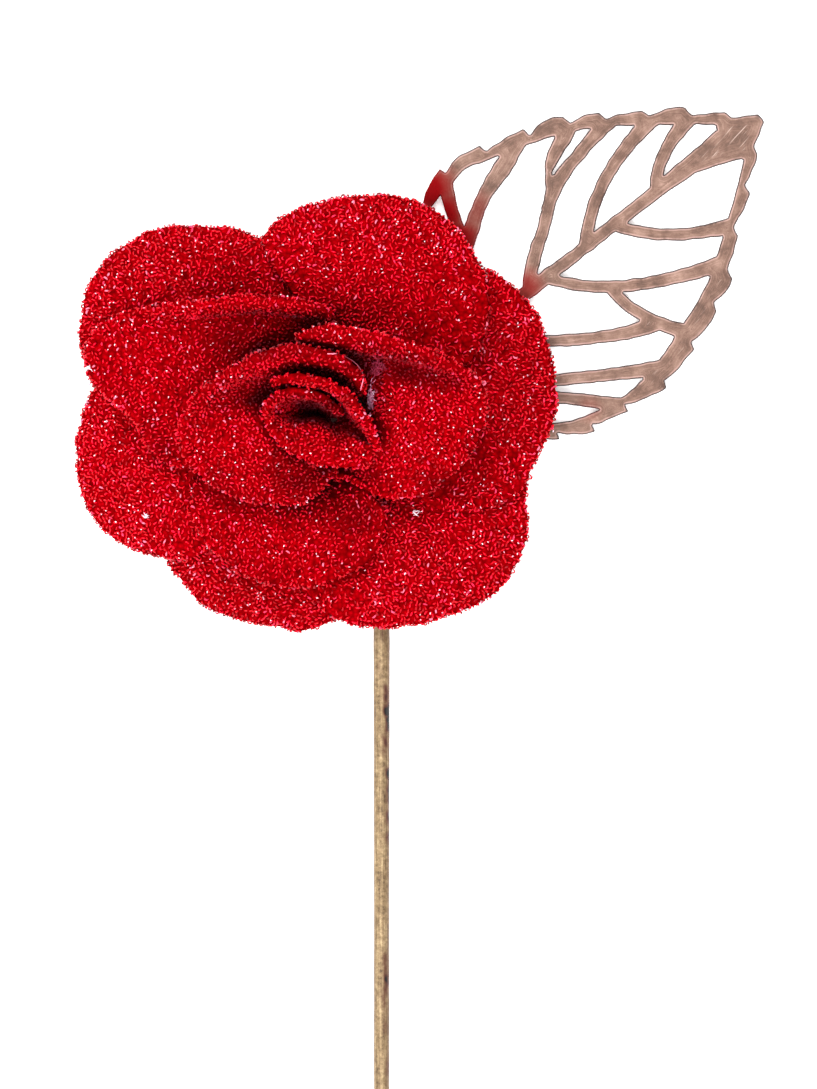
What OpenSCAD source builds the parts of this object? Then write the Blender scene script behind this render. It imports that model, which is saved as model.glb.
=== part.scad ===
// Flower lapel pin: a knitted flower with a pierced metal leaf on a brass stick.
// It lies on its back. The origin is where the stick leaves the flower, on the stick's axis.
// +X is right, +Y runs from the stick's point to the flower, +Z is the way the flower faces.

/* [Flower] */
// Width of the open flower across its outer petals
flower_d = 44; // [38:1:52]
// Height of the bud's highest rim above the petals' roots
flower_h = 12; // [10:0.5:15]
// Distance from the flower's centre to the stick, sideways
stick_side = 5.6; // [4:0.1:7]
// Distance from the flower's centre down to where the stick comes out
stick_drop = 19.8; // [17:0.1:22]
// Thickness of the knitted cloth
cloth_t = 1; // [0.8:0.05:1.2]
// Clearance between neighbouring petals
petal_gap = 0.2; // [0.1:0.05:0.4]
// Radius of the innermost petal at its root
core_r = 0.6; // [0.55:0.05:1]
// Angle at which the bud's petals rise from their roots
root_slope = 62; // [55:1:70]
// Radius of the bud's rolled rims, to the middle of the cloth
roll_r = 1.3; // [0.8:0.05:1.6]
// How far the outer petals arch up between root and rim
arch = 1.3; // [0.6:0.1:2]

/* [Leaf] */
// Length of the leaf
leaf_l = 40; // [32:1:50]
// Width of the leaf over its teeth
leaf_w = 28.2; // [22:0.2:34]
// Thickness of the leaf's metal
leaf_t = 0.5; // [0.3:0.05:0.8]
// Angle of the leaf's midrib above the horizontal
leaf_turn = 37.6; // [30:0.2:45]
// Width of the leaf's rim, from the teeth's tips to the gaps
rim_w = 1.4; // [1.2:0.05:1.8]
// Width of a side vein at its middle
vein_w = 0.95; // [0.7:0.05:1.3]
// Depth of the teeth along the leaf's rim
tooth_h = 0.75; // [0.3:0.05:0.9]
// Distance of the leaf's base to the right of the stick's axis
leaf_side = 2.9; // [2.4:0.1:4]
// Distance of the leaf's base above where the stick comes out
leaf_rise = 22.7; // [20:0.1:25]

/* [Pin] */
// Diameter of the stick
stick_d = 1.4; // [1.2:0.05:1.8]
// Length of the stick from the flower to the end of its point
stick_l = 54; // [45:1:70]
// Length of the tapered point
point_l = 9; // [6:0.5:14]
// Diameter of the point's rounded end
point_d = 0.3; // [0.2:0.05:0.5]
// Diameter of the stick's thinner hidden end behind the flower
shank_d = 1; // [0.8:0.05:1.05]
// Length of the hidden end
shank_l = 22; // [18:0.5:24]
// Diameter of the round plate that carries the petals
pad_d = 21; // [19:0.5:26]
// Thickness of the round plate
pad_t = 0.8; // [0.6:0.05:1.2]
// How deep the hidden end is soldered into the plate
solder = 0.1; // [0.05:0.05:0.3]
// Clearance between the leaf and the plate
metal_gap = 0.1; // [0.05:0.01:0.2]

/* [Hidden] */

flower_r = flower_d / 2;
pitch = cloth_t + petal_gap;
ring_step = pitch / sin(root_slope);

pad_z = shank_d / 2 - solder;
root_z = pad_z + pad_t + petal_gap + cloth_t / 2;
floor_z = -stick_d / 2;
leaf_z = pad_z - metal_gap - leaf_t;
RED = [0.72, 0.02, 0.07];
COPPER = [0.66, 0.51, 0.44];
BRASS = [0.72, 0.6, 0.42];
// Points across a petal's roll and along its profile, and the bend's reach as a share of its chord
ROLL_STEPS = 4;
PROFILE_STEPS = 7;
BEND = 0.4;
// Least and greatest turn of a rolled rim, in degrees
TURN_MIN = 8;
TURN_MAX = 110;

// The outer petals' common skirt: [angle, reach of the skirt, height of its edge].
// Angles run anticlockwise from +X. Reach is a share of flower_r.
// Height is 0 on the table and 1 at the roots.
SKIRT = [[0, 1.02, 0.62], [35, 1.03, 0.75], [65, 1.02, 0.85], [100, 0.92, 0.8], [147, 1.13, 0.6],
  [172, 1.04, 0.2], [200, 1.035, 0.0], [228, 0.92, 0.0], [250, 0.91, 0.0], [275, 0.92, 0.35],
  [318, 1.05, 0.7], [340, 1.0, 0.7]];

// Outer petals: [first side's lift, last side's lift, rim], where a lift of 1 lies over the neighbour.
// Each rim row is [angle, reach], with the reach as a share of flower_r.
OUTER = [
  [1, 1, [[20, 0.66], [30, 0.80], [38, 0.87], [46, 0.925], [56, 0.965], [66, 0.975], [76, 0.945], [86, 0.90],
    [96, 0.855], [103, 0.82], [108, 0.77]]],
  [0, 1, [[94, 0.70], [101, 0.74], [108, 0.78], [116, 0.87], [124, 0.95], [132, 1.035], [141, 1.09],
    [151, 1.095], [160, 1.05], [166, 1.0], [172, 0.94], [177, 0.84]]],
  [0, 1, [[163, 0.80], [172, 0.93], [179, 0.98], [185, 1.01], [192, 1.025], [199, 1.03], [206, 1.0],
    [214, 0.945], [221, 0.87], [227, 0.79], [232, 0.68]]],
  [0, 0, [[216, 0.80], [224, 0.86], [232, 0.885], [239, 0.90], [247, 0.90], [256, 0.885], [265, 0.88],
    [272, 0.85], [280, 0.80], [288, 0.72]]],
  [1, 0, [[262, 0.67], [269, 0.76], [276, 0.835], [284, 0.895], [292, 0.925], [301, 0.965], [313, 1.015],
    [321, 1.015], [329, 0.99], [336, 0.935], [346, 0.87], [354, 0.79]]],
  [1, 0, [[321, 0.60], [330, 0.75], [340, 0.89], [346, 0.90], [354, 0.935], [364, 0.98], [374, 0.99],
    [384, 0.99], [394, 0.965], [404, 0.90], [412, 0.82]]]];
// Share of its rim's angle that an outer petal keeps at its root
OUTER_WAIST = 0.55;
// Part of an outer petal's length over which it rises to its lift
LIFT_RUN = 0.28;
// Part of a petal's width, at each side, that keeps the side's full lift
LIFT_EDGE = 0.38;
// Part of an outer petal's length over which it fans out to its rim's width
FAN_RUN = 0.85;
// Steepest slope on which overlapping outer petals still keep petal_gap, in degrees
STEEPEST = 28;
lift_step = cloth_t / cos(STEEPEST) + petal_gap;

// Rims of the middle and bud petals: [angle, reach, height, lean, roll].
// Reach is where the petal's wall ends, as a share of flower_r, and height is a share of flower_h.
// Lean is the wall's angle above the horizontal there.
// Roll runs from 0, plain, to 1, rolled right over outwards.
MID_LEFT = [[82, 0.41, 0.42, 56, 0.4], [92, 0.435, 0.47, 54, 0.7], [104, 0.47, 0.52, 52, 0.8],
  [118, 0.535, 0.53, 50, 0.8], [134, 0.65, 0.51, 44, 0.7], [145, 0.79, 0.43, 30, 0.4],
  [154, 0.93, 0.34, 14, 0.1], [162, 1.0, 0.28, 4, 0], [168, 0.98, 0.28, 2, 0], [173, 0.915, 0.3, 4, 0],
  [178, 0.79, 0.34, 8, 0], [184, 0.73, 0.36, 12, 0], [192, 0.69, 0.37, 14, 0], [198, 0.63, 0.36, 18, 0],
  [203, 0.52, 0.33, 26, 0]];
MID_BOTTOM = [[208, 0.56, 0.34, 16, 0], [212, 0.62, 0.34, 12, 0], [219, 0.66, 0.34, 10, 0],
  [230, 0.685, 0.33, 8, 0], [242, 0.695, 0.32, 6, 0.1], [254, 0.695, 0.31, 5, 0.1], [267, 0.675, 0.30, 5, 0.1],
  [281, 0.645, 0.31, 8, 0], [293, 0.59, 0.335, 12, 0], [300, 0.53, 0.345, 16, 0], [305, 0.46, 0.35, 22, 0]];
BUD_RIGHT = [[-76, 0.255, 0.2, 60, 0], [-68, 0.27, 0.3, 54, 0], [-60, 0.31, 0.4, 44, 0],
  [-54, 0.39, 0.46, 32, 0], [-47, 0.455, 0.5, 20, 0], [-37, 0.52, 0.53, 12, 0], [-18, 0.61, 0.57, 10, 0],
  [-3, 0.67, 0.62, 14, 0], [7, 0.675, 0.67, 24, 0.1], [14, 0.63, 0.73, 38, 0.3], [21, 0.545, 0.79, 54, 0.6],
  [33, 0.43, 0.85, 66, 0.85], [46, 0.355, 0.88, 74, 0.95], [68, 0.315, 0.9, 78, 0.95],
  [90, 0.32, 0.88, 78, 0.8], [108, 0.34, 0.84, 74, 0.45]];
BUD_LEFT = [[6, 0.215, 0.4, 84, 0], [20, 0.208, 0.8, 84, 0.2], [36, 0.207, 0.88, 84, 0.4],
  [51, 0.21, 0.92, 84, 0.6], [74, 0.21, 0.95, 84, 0.7], [102, 0.23, 0.96, 82, 0.75], [129, 0.27, 0.94, 74, 0.8],
  [152, 0.35, 0.89, 60, 0.65], [166, 0.455, 0.82, 40, 0.3], [181, 0.55, 0.75, 24, 0], [192, 0.575, 0.70, 16, 0],
  [205, 0.54, 0.66, 12, 0], [221, 0.48, 0.62, 12, 0], [238, 0.41, 0.58, 16, 0], [257, 0.36, 0.54, 22, 0],
  [270, 0.30, 0.48, 32, 0], [281, 0.25, 0.42, 44, 0], [291, 0.215, 0.36, 56, 0], [300, 0.18, 0.3, 60, 0]];
BUD_INNER = [[-35, 0.275, 0.8, 62, 0], [-20, 0.24, 0.86, 68, 0.1], [-7, 0.195, 0.9, 74, 0.25],
  [12, 0.15, 0.95, 80, 0.35], [47, 0.12, 1.0, 86, 0.4], [101, 0.125, 1.0, 86, 0.4],
  [132, 0.185, 0.95, 78, 0.35], [150, 0.25, 0.9, 70, 0.15]];
BUD_CORE = [[43, 0.035, 0.42, 86, 0], [60, 0.038, 0.45, 86, 0], [100, 0.05, 0.66, 86, 0],
  [136, 0.095, 0.86, 80, 0], [147, 0.14, 0.9, 72, 0.1], [161, 0.21, 0.92, 60, 0.1], [174, 0.235, 0.9, 46, 0],
  [189, 0.215, 0.86, 36, 0], [208, 0.19, 0.82, 32, 0], [227, 0.185, 0.79, 28, 0], [240, 0.18, 0.77, 26, 0],
  [269, 0.18, 0.75, 24, 0], [293, 0.21, 0.75, 26, 0], [312, 0.22, 0.77, 38, 0], [322, 0.2, 0.79, 52, 0],
  [332, 0.165, 0.78, 66, 0], [348, 0.1, 0.66, 82, 0], [368, 0.06, 0.52, 86, 0], [394, 0.045, 0.45, 86, 0]];
// Part of flower_r over which a middle petal climbs over the outer ones
CLIMB_RUN = LIFT_RUN / 3;
// How softly it bends there, as a share of cloth_t
CLIMB_BEND = 0.5;

// Leaf outline: [station along the leaf, half width], as shares of leaf_l and leaf_w / 2
LEAF_EDGE = [[0, 0.07], [0.05, 0.36], [0.11, 0.63], [0.19, 0.85], [0.27, 0.955], [0.35, 1.0], [0.45, 0.975],
  [0.55, 0.885], [0.645, 0.785], [0.715, 0.67], [0.79, 0.52], [0.875, 0.34], [0.945, 0.17], [1, 0.033]];
// Stations of the smooth edge below the first tooth
LEAF_BASE = [0.04, 0.08, 0.12, 0.155];
// Stations of the teeth's tips, and how far a notch lies behind its tip
TEETH = [0.19, 0.265, 0.35, 0.455, 0.555, 0.645, 0.715, 0.795, 0.875, 0.943];
NOTCH = 0.004;
// Stations at which the openings start and end
OPENINGS = [0.07, 0.93];
// Midrib: [station, upper edge, lower edge], as shares of leaf_l and leaf_w / 2
MIDRIB = [[0, 0.06, -0.06], [0.2, 0.085, -0.035], [0.45, 0.075, -0.02], [0.7, 0.085, -0.02], [0.8, 0.1, -0.03],
  [0.85, 0.105, -0.08], [0.905, 0.115, -0.145], [0.925, 0.24, -0.26]];
// Side veins: [root station, root side, middle station, middle side, end station, end side].
// Stations are shares of leaf_l and sides shares of leaf_w / 2, above the midrib where positive.
VEINS = [[0.705, 0.035, 0.775, 0.21, 0.885, 0.30], [0.50, 0.035, 0.64, 0.32, 0.83, 0.44],
  [0.335, 0.035, 0.50, 0.41, 0.645, 0.75], [0.485, 0.385, 0.60, 0.53, 0.755, 0.60],
  [0.14, 0.03, 0.31, 0.57, 0.56, 0.86], [0.288, 0.53, 0.315, 0.77, 0.35, 0.98],
  [0.58, 0.02, 0.675, -0.265, 0.81, -0.47], [0.385, 0.02, 0.515, -0.335, 0.735, -0.62],
  [0.488, -0.285, 0.51, -0.57, 0.58, -0.87], [0.15, 0.02, 0.37, -0.45, 0.52, -0.645],
  [0.10, -0.25, 0.29, -0.60, 0.485, -0.93], [0.20, -0.57, 0.27, -0.72, 0.345, -0.95]];
// How much wider a vein is at its end, and the steps along it
VEIN_FLARE = 0.6;
VEIN_STEPS = 12;
// Steps along one tooth, and how hollow its back is
TOOTH_STEPS = 4;
TOOTH_CURVE = 1.7;
// Stations sampled along the leaf's inner contour
LEAF_STEPS = 40;

// Row of a table at x, on a smooth curve through its rows
function upper(rows, x, i = 1) = i >= len(rows) - 1 || x <= rows[i][0] ? i : upper(rows, x, i + 1);
function slope(rows, i) =
  let (a = rows[max(i - 1, 0)], b = rows[min(i + 1, len(rows) - 1)]) (b - a) / (b[0] - a[0]);
function row_at(rows, x) =
  let (i = upper(rows, x), a = rows[i - 1], b = rows[i], w = b[0] - a[0], u = (x - a[0]) / w)
  a * (2 * u ^ 3 - 3 * u ^ 2 + 1) + b * (3 * u ^ 2 - 2 * u ^ 3)
  + slope(rows, i - 1) * w * (u ^ 3 - 2 * u ^ 2 + u) + slope(rows, i) * w * (u ^ 3 - u ^ 2);
function ramp(x) = let (u = min(max(x, 0), 1)) u * u * (3 - 2 * u);
function ring_r(ring) = core_r + ring * ring_step;
function polar(angle, r, z) = [r * cos(angle), r * sin(angle), z];

// Height of the outer petals' common skirt
TURN = 360;
SKIRT_ROUND = concat([SKIRT[len(SKIRT) - 1] - [TURN, 0, 0]], SKIRT,
  [SKIRT[0] + [TURN, 0, 0], SKIRT[1] + [TURN, 0, 0]]);
OUTER_RING = 5;
function turned(angle) = angle - TURN * floor(angle / TURN);
function skirt_z(angle, r) =
  let (row = row_at(SKIRT_ROUND, turned(angle)), r0 = ring_r(OUTER_RING),
    q = (r - r0) / (row[1] * flower_r - r0), edge = floor_z + cloth_t / 2,
    end = edge + row[2] * (root_z - edge))
  root_z + (end - root_z) * q * abs(q) + arch * 4 * q * (1 - q);

// An outer petal's point at angle row_angle of its rim and share t of its length
function outer_point(petal, rim_angle, t) =
  let (rim = petal[2], a0 = rim[0][0], a1 = rim[len(rim) - 1][0], mid = (a0 + a1) / 2,
    r0 = ring_r(OUTER_RING), r = r0 + (row_at(rim, rim_angle)[1] * flower_r - r0) * t,
    angle = mid + (rim_angle - mid) * (OUTER_WAIST + (1 - OUTER_WAIST) * ramp(t / FAN_RUN)),
    across = (rim_angle - a0) / (a1 - a0),
    lift = petal[0] + (petal[1] - petal[0]) * ramp((across - LIFT_EDGE) / (1 - 2 * LIFT_EDGE)))
  polar(angle, r, skirt_z(angle, r) + lift * lift_step * ramp(t / LIFT_RUN));

// Profile of a middle or bud petal, as [radius, height] from root to rim
function bezier(a, b, c, d, t) =
  a * (1 - t) ^ 3 + b * 3 * t * (1 - t) ^ 2 + c * 3 * t ^ 2 * (1 - t) + d * t ^ 3;
function profile(row, ring) =
  let (lean = row[3], turn = TURN_MIN + (TURN_MAX - TURN_MIN) * min(max(row[4], 0), 1), last = lean - turn,
    rise = last < 0 ? 1 - cos(lean) : cos(last) - cos(lean),
    start = [ring_r(ring), root_z], end = [row[1] * flower_r, root_z + row[2] * flower_h - roll_r * rise],
    bend = BEND * norm(end - start),
    leave = start + bend * [cos(root_slope), sin(root_slope)],
    arrive = end - bend * [cos(lean), sin(lean)],
    centre = end + roll_r * [sin(lean), -cos(lean)])
  concat([for (k = [0:PROFILE_STEPS]) bezier(start, leave, arrive, end, k / PROFILE_STEPS)],
    [for (k = [1:ROLL_STEPS]) let (a = lean - turn * k / ROLL_STEPS) centre + roll_r * [-sin(a), cos(a)]]);

// Smooth greater of two heights, never under either
function over(a, b) = (a + b + norm([a - b, CLIMB_BEND * cloth_t])) / 2;
function above_skirt(angle, r) =
  skirt_z(angle, r) + lift_step * (1 + ramp((r - ring_r(OUTER_RING)) / (CLIMB_RUN * flower_r)));

// Middle surface of a petal, as columns of points from its first side to its last
function columns(rows, steps) =
  let (first = rows[0][0], last = rows[len(rows) - 1][0])
  [for (k = [0:steps]) first + (last - first) * k / steps];
function outer_grid(petal, steps, along) =
  [for (a = columns(petal[2], steps)) [for (k = [0:along]) outer_point(petal, a, k / along)]];
function bud_grid(rows, ring, steps, on_skirt) =
  [for (a = columns(rows, steps)) [for (p = profile(row_at(rows, a), ring))
    polar(a, p[0], on_skirt && p[0] > ring_r(OUTER_RING) ? over(p[1], above_skirt(a, p[0])) : p[1])]];

// Closed shell of thickness cloth_t round a grid of points
function unit(v) = v / norm(v);
function normal_at(grid, i, j) =
  let (m = len(grid) - 1, n = len(grid[0]) - 1,
    across = grid[min(i + 1, m)][j] - grid[max(i - 1, 0)][j],
    along = grid[i][min(j + 1, n)] - grid[i][max(j - 1, 0)])
  unit(cross(along, across));
module shell(grid) {
  m = len(grid);
  n = len(grid[0]);
  front = [for (i = [0:m - 1]) for (j = [0:n - 1]) grid[i][j] + normal_at(grid, i, j) * cloth_t / 2];
  back = [for (i = [0:m - 1]) for (j = [0:n - 1]) grid[i][j] - normal_at(grid, i, j) * cloth_t / 2];
  b = m * n;
  skin = [for (i = [0:m - 2]) for (j = [0:n - 2]) let (p = i * n + j, q = p + n)
    each [[p, p + 1, q], [q, p + 1, q + 1], [b + p, b + q, b + p + 1], [b + q, b + q + 1, b + p + 1]]];
  ends = [for (i = [0:m - 2]) let (p = i * n, q = p + n, r = p + n - 1, s = r + n)
    each [[p, q, b + p], [q, b + q, b + p], [r, b + r, s], [s, b + r, b + s]]];
  sides = [for (j = [0:n - 2]) let (p = j, q = (m - 1) * n + j)
    each [[p, b + p, p + 1], [p + 1, b + p, b + p + 1], [q, q + 1, b + q], [q + 1, b + q + 1, b + q]]];
  polyhedron(concat(front, back), concat(skin, ends, sides));
}

module at_flower() {
  translate([-stick_side, stick_drop, 0]) children();
}
module outer_petal(index) {
  color(RED) at_flower() shell(outer_grid(OUTER[index - 1], 16, 8));
}
module bud_petal(rows, ring, steps, on_skirt = false) {
  color(RED) at_flower() shell(bud_grid(rows, ring, steps, on_skirt));
}

// Leaf
function on_leaf(station, side) = [station * leaf_l, side * leaf_w / 2];
function edge_at(station) = row_at(LEAF_EDGE, station)[1] * leaf_w / 2;
// Rim from base to tip: each tooth's back rises from a notch to its tip
function tooth_points(from, to) =
  [for (k = [0:TOOTH_STEPS]) let (u = k / TOOTH_STEPS, s = from + (to - from) * u)
    [s * leaf_l, edge_at(s) - tooth_h * (1 - u) ^ TOOTH_CURVE]];
LEAF_SIDE = let (last = TEETH[len(TEETH) - 1])
  concat([for (s = concat([0], LEAF_BASE, [TEETH[0]])) [s * leaf_l, edge_at(s)]],
    [for (k = [0:len(TEETH) - 2]) each tooth_points(TEETH[k] + NOTCH, TEETH[k + 1])],
    [[(last + NOTCH) * leaf_l, edge_at(last) - tooth_h], [leaf_l, edge_at(1)]]);
function mirrored(points) = [for (k = [len(points) - 1:-1:0]) [points[k][0], -points[k][1]]];
module leaf_blank() {
  polygon(concat(LEAF_SIDE, mirrored(LEAF_SIDE)));
}
module leaf_inside() {
  side = [for (k = [0:LEAF_STEPS])
    let (s = OPENINGS[0] + (OPENINGS[1] - OPENINGS[0]) * k / LEAF_STEPS)
    [s * leaf_l, max(edge_at(s) - rim_w, 0.01)]];
  polygon(concat(side, mirrored(side)));
}
module midrib() {
  polygon(concat([for (row = MIDRIB) on_leaf(row[0], row[1])], [on_leaf(1, 0)],
    [for (k = [len(MIDRIB) - 1:-1:0]) on_leaf(MIDRIB[k][0], MIDRIB[k][2])]));
}
module vein(row) {
  a = on_leaf(row[0], row[1]);
  middle = on_leaf(row[2], row[3]);
  b = on_leaf(row[4], row[5]);
  turn = 2 * middle - (a + b) / 2;
  function along(t) = a * (1 - t) ^ 2 + turn * 2 * t * (1 - t) + b * t ^ 2;
  function aside(t) = let (d = unit((turn - a) * (1 - t) + (b - turn) * t)) [-d[1], d[0]];
  function half(t) = vein_w / 2 * (1 + VEIN_FLARE * t ^ 5);
  steps = [for (k = [0:VEIN_STEPS]) k / VEIN_STEPS];
  polygon(concat([for (t = steps) along(t) + aside(t) * half(t)],
    [for (k = [VEIN_STEPS:-1:0]) along(steps[k]) - aside(steps[k]) * half(steps[k])]));
}
module leaf() {
  color(COPPER) translate([leaf_side, leaf_rise, leaf_z]) rotate([0, 0, leaf_turn])
    linear_extrude(leaf_t) difference() {
      leaf_blank();
      difference() {
        leaf_inside();
        midrib();
        for (row = VEINS) vein(row);
      }
    }
}

// Pin: the stick, its point and the plate behind the flower are soldered into one solid
module pin() {
  color(BRASS) union() {
    rotate([90, 0, 0]) cylinder(h = stick_l - point_l, d = stick_d, $fn = 48);
    translate([0, point_l - stick_l, 0]) rotate([90, 0, 0])
      cylinder(h = point_l, d1 = stick_d, d2 = point_d, $fn = 48);
    translate([0, shank_l, 0]) rotate([90, 0, 0]) cylinder(h = shank_l, d = shank_d, $fn = 48);
    at_flower() translate([0, 0, pad_z]) cylinder(h = pad_t, d = pad_d, $fn = 96);
  }
}

pin();
leaf();
outer_petal(1);  // outer_petal_1
outer_petal(2);  // outer_petal_2
outer_petal(3);  // outer_petal_3
outer_petal(4);  // outer_petal_4
outer_petal(5);  // outer_petal_5
outer_petal(6);  // outer_petal_6
bud_petal(MID_LEFT, 4, 24, true);  // mid_petal_left
bud_petal(MID_BOTTOM, 4, 18, true);  // mid_petal_bottom
bud_petal(BUD_RIGHT, 3, 28);  // bud_petal_right
bud_petal(BUD_LEFT, 2, 30);  // bud_petal_left
bud_petal(BUD_INNER, 1, 20);  // bud_petal_inner
bud_petal(BUD_CORE, 0, 30);  // bud_core
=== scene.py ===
"""Flower lapel pin: red glitter-knit petals, a pierced copper leaf and a brass stick, over the CAD frame."""
from math import cos, pi, radians, sin, sqrt

import bpy
import numpy as np
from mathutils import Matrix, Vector
from mathutils.bvhtree import BVHTree
from mathutils.geometry import delaunay_2d_cdt
from mathutils.kdtree import KDTree


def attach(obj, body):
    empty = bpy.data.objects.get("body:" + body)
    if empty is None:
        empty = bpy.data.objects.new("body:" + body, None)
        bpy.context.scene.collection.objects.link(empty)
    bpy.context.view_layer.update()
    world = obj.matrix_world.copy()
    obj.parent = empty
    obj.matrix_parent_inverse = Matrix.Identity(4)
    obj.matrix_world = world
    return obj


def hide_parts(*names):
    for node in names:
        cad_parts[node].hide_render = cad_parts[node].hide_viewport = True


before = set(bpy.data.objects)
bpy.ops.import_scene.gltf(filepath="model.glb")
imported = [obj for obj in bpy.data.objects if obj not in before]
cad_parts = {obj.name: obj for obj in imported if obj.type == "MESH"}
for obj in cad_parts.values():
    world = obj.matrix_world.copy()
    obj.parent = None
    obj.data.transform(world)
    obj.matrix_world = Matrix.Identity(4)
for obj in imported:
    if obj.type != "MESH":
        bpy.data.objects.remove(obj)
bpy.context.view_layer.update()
MM = 0.001

# sizes, in mm
FLOWER_R, FLOWER_H = 22.0, 12.0
CENTRE = (-5.6, 19.8)  # of the flower
CLOTH_T, PETAL_GAP = 1.0, 0.2
CORE_R, ROOT_SLOPE, ROLL_R, ARCH = 0.6, 62.0, 1.3, 1.3
STICK_D, STICK_L, POINT_L, POINT_D = 1.4, 54.0, 9.0, 0.3
SHANK_D, SHANK_L, PAD_D, PAD_T = 1.0, 22.0, 21.0, 0.8
PAD_Z = 0.4
ROOT_Z = 1.9
FLOOR_Z = -STICK_D / 2
STEEPEST = 28  # slope of the skirt, in degrees
RING_STEP = (CLOTH_T + PETAL_GAP) / sin(radians(ROOT_SLOPE))
LIFT_STEP = CLOTH_T / cos(radians(STEEPEST)) + PETAL_GAP
OUTER_RING, OUTER_WAIST, LIFT_RUN, LIFT_EDGE = 5, 0.74, 0.28, 0.38
BEND, TURN_MIN, TURN_MAX, WALL_STEPS, ROLL_STEPS = 0.4, 8.0, 110.0, 48, 17
# slope of the bud's walls in degrees, how much more the core has below and two bud petals have on one side,
# and the directions that those two rings are steeper towards
WALL_SLOPE, CORE_MORE, SIDE_MORE, STEEP_SIDES = 80, 10, 7, {3: 5, 2: 225}
CLOTH_HALF = 0.36  # half the shown cloth's thickness, without its loops
STEP, EDGE_ROUND = 0.42, 0.42  # the cloth mesh's spacing, and the width of its rounded edges
PHOTO_H, PX_PER_MM = 1089, 11
VIEW = (2.46, 8.27, 2.0)  # the middle of the photograph, at the height where its scale holds

# [angle, reach of the skirt, height of its edge]
SKIRT = [[0, 1.02, 0.62], [35, 1.03, 0.75], [65, 1.02, 0.85], [100, 0.92, 0.8], [147, 1.13, 0.6],
         [172, 1.04, 0.2], [200, 1.035, 0.0], [228, 0.92, 0.0], [250, 0.91, 0.0], [275, 0.92, 0.35],
         [318, 1.05, 0.7], [340, 1.0, 0.7]]
# first side's lift, last side's lift, rim rows [angle, reach]
OUTER = [
    (1, 1, [[20, 0.66], [30, 0.8], [38, 0.87], [46, 0.925], [56, 0.965], [66, 0.975], [76, 0.945], [86, 0.9],
            [96, 0.855], [103, 0.82], [108, 0.77]]),
    (0, 1, [[94, 0.7], [101, 0.74], [108, 0.78], [116, 0.87], [124, 0.95], [132, 1.035], [141, 1.09],
            [151, 1.095], [160, 1.05], [166, 1.0], [172, 0.94], [177, 0.84]]),
    (0, 1, [[163, 0.8], [172, 0.93], [179, 0.98], [185, 1.01], [192, 1.025], [199, 1.03], [206, 1.0],
            [214, 0.945], [221, 0.87], [227, 0.79], [232, 0.68]]),
    (0, 0, [[216, 0.8], [224, 0.86], [232, 0.885], [239, 0.9], [247, 0.9], [256, 0.885], [265, 0.88],
            [272, 0.85], [280, 0.8], [288, 0.72]]),
    (1, 0, [[262, 0.67], [269, 0.76], [276, 0.835], [284, 0.895], [292, 0.925], [301, 0.965], [313, 1.015],
            [321, 1.015], [329, 0.99], [336, 0.935], [346, 0.87], [354, 0.79]]),
    (1, 0, [[321, 0.6], [330, 0.75], [340, 0.89], [346, 0.9], [354, 0.935], [364, 0.98], [374, 0.99],
            [384, 0.99], [394, 0.965], [404, 0.9], [412, 0.82]]),
]
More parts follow.
